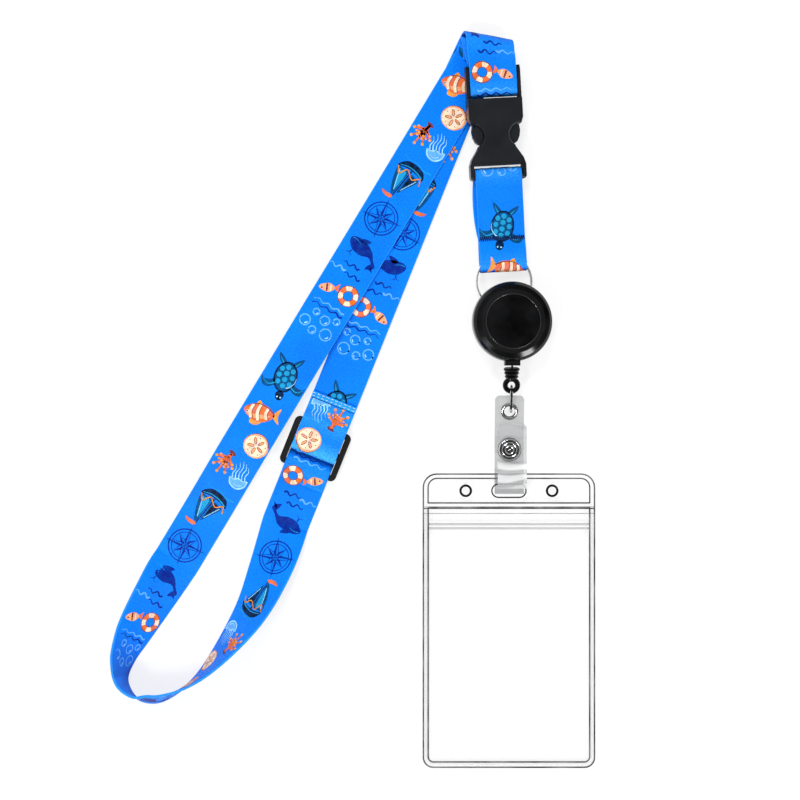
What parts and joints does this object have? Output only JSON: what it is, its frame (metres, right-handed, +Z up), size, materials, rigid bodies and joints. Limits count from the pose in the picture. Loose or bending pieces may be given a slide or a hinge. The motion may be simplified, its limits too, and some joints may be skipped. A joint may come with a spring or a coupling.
{
  "type": "badge lanyard",
  "caption": "Neck lanyard of flat webbing with an adjuster slider, side-release buckle, split ring, retractable badge reel, snap strap clip and clear badge holder, laid flat.",
  "frame": {"origin": "centre of the bounding box on the surface the lanyard lies on", "axes": "+Z up from that surface; +Y towards the top fold of the strap, away from the badge holder; +X to the right seen from above"},
  "size_m": [0.1943, 0.2981, 0.019],
  "materials": {
    "printed_webbing": "smooth satin polyester webbing, bright blue with a small printed sea pattern",
    "buckle_black": "fine matt moulded acetal",
    "slider_black": "fine matt moulded acetal",
    "reel_black": "glossy moulded ABS",
    "reel_back": "glossy moulded ABS, back shell",
    "label_black": "smooth black disc under a clear lacquer",
    "spool_white": "natural acetal",
    "spring_steel": "blued spring strip",
    "nickel": "nickel plated steel",
    "cord_black": "braided nylon cord",
    "clear_vinyl": "clear soft vinyl sheet",
    "frosted_vinyl": "frosted soft vinyl strap"
  },
  "bodies": {
    "neck_strap": {"strap_left_run": "printed_webbing", "strap_left_end": "printed_webbing", "strap_bottom_bend": "printed_webbing", "strap_lower_run": "printed_webbing", "strap_return_run": "printed_webbing", "strap_front_run": "printed_webbing", "strap_top_outer": "printed_webbing", "strap_top_inner": "printed_webbing", "buckle_male_frame": "buckle_black"},
    "prong_left": {"release_prong_left": "buckle_black"},
    "prong_right": {"release_prong_right": "buckle_black"},
    "adjuster": {"adjuster_slider": "slider_black", "adjuster_flap": "printed_webbing"},
    "buckle_female": {"buckle_female_shell": "buckle_black", "tab_strap_front": "printed_webbing", "tab_strap_back": "printed_webbing"},
    "ring": {"split_ring": "nickel"},
    "badge_reel": {"reel_back_shell": "reel_back", "reel_front_cover": "reel_black", "reel_cap_disc": "label_black", "reel_axle": "reel_back", "spiral_spring": "spring_steel", "cord_tail": "cord_black", "cord_nozzle": "reel_black", "belt_clip": "nickel", "clip_rivet": "nickel"},
    "spool": {"cord_spool": "spool_white", "cord_winding": "cord_black"},
    "cord_end": {"cord_stop": "reel_black"},
    "link": {"wire_link": "nickel"},
    "badge_clip": {"clip_strap_back": "frosted_vinyl", "clip_eyelet": "nickel", "snap_stud": "nickel"},
    "snap_flap": {"clip_strap_flap": "frosted_vinyl", "snap_socket": "nickel", "snap_cap": "nickel"},
    "badge_holder": {"holder_back_sheet": "clear_vinyl", "holder_header": "clear_vinyl", "holder_front_sheet": "clear_vinyl", "holder_edge_weld": "clear_vinyl", "zip_groove": "clear_vinyl", "zip_rib": "clear_vinyl"}
  },
  "joints": [
    {"name": "prong_left_squeeze", "type": "hinge", "parent": "neck_strap", "child": "prong_left", "pos_m": [0.04845, 0.1181, 0.00773], "axis": [0.0988, -0.0463, 0.994], "range_deg": [0, 6], "stiffness_Nm_per_rad": 0.02},
    {"name": "prong_right_squeeze", "type": "hinge", "parent": "neck_strap", "child": "prong_right", "pos_m": [0.06334, 0.11906, 0.0063], "axis": [0.0988, -0.0463, 0.994], "range_deg": [-6, 0], "stiffness_Nm_per_rad": 0.02},
    {"name": "buckle_pull", "type": "slide", "parent": "neck_strap", "child": "buckle_female", "axis": [0.0592, -0.9969, -0.0523], "range_m": [0, 0.028], "deforming": ["release_prong_left", "release_prong_right"]},
    {"name": "adjuster_slide", "type": "slide", "parent": "neck_strap", "child": "adjuster", "axis": [0.373, 0.9278, 0], "range_m": [-0.02, 0.02], "deforming": ["strap_front_run", "strap_return_run", "strap_lower_run"]},
    {"name": "ring_swing", "type": "hinge", "parent": "buckle_female", "child": "ring", "pos_m": [0.05975, 0.05371, 0.00361], "axis": [0.9933, 0.064, -0.0957], "range_deg": [-60, 35], "deforming": ["tab_strap_front", "tab_strap_back"]},
    {"name": "reel_swing", "type": "hinge", "parent": "ring", "child": "badge_reel", "pos_m": [0.06076, 0.03664, 0.00271], "axis": [0.9933, 0.064, -0.0957], "range_deg": [-6, 20]},
    {"name": "cord_pull", "type": "slide", "parent": "badge_reel", "child": "cord_end", "axis": [0, -1, 0], "range_m": [0, 0.6], "stiffness_N_per_m": 1.5, "springref_m": -0.2, "deforming": ["cord_tail"]},
    {"name": "spool_spin", "type": "hinge", "parent": "badge_reel", "child": "spool", "pos_m": [0.0629, 0.03139, 0.00496], "axis": [0.0523, 0, 0.9986], "range_deg": [0, 3060], "deforming": ["spiral_spring"]},
    {"name": "link_swing", "type": "hinge", "parent": "cord_end", "child": "link", "pos_m": [0.0629, 0.00339, 0.00622], "axis": [1, 0, 0], "range_deg": [-45, 60]},
    {"name": "clip_swing", "type": "hinge", "parent": "link", "child": "badge_clip", "pos_m": [0.0623, -0.00053, 0.00432], "axis": [1, 0, 0], "range_deg": [-18, 18]},
    {"name": "snap_flap_open", "type": "hinge", "parent": "badge_clip", "child": "snap_flap", "pos_m": [0.0634, -0.03606, 0.00447], "axis": [1, 0, 0], "range_deg": [0, 110]},
    {"name": "holder_swing", "type": "hinge", "parent": "badge_clip", "child": "badge_holder", "pos_m": [0.0621, -0.03216, 0.0023], "axis": [1, 0, 0], "range_deg": [-12, 12]}
  ],
  "couplings": [
    {"joint": "prong_right_squeeze", "follows": "prong_left_squeeze", "ratio": -1},
    {"joint": "spool_spin", "follows": "cord_pull", "rad_per_m": 88.889}
  ]
}
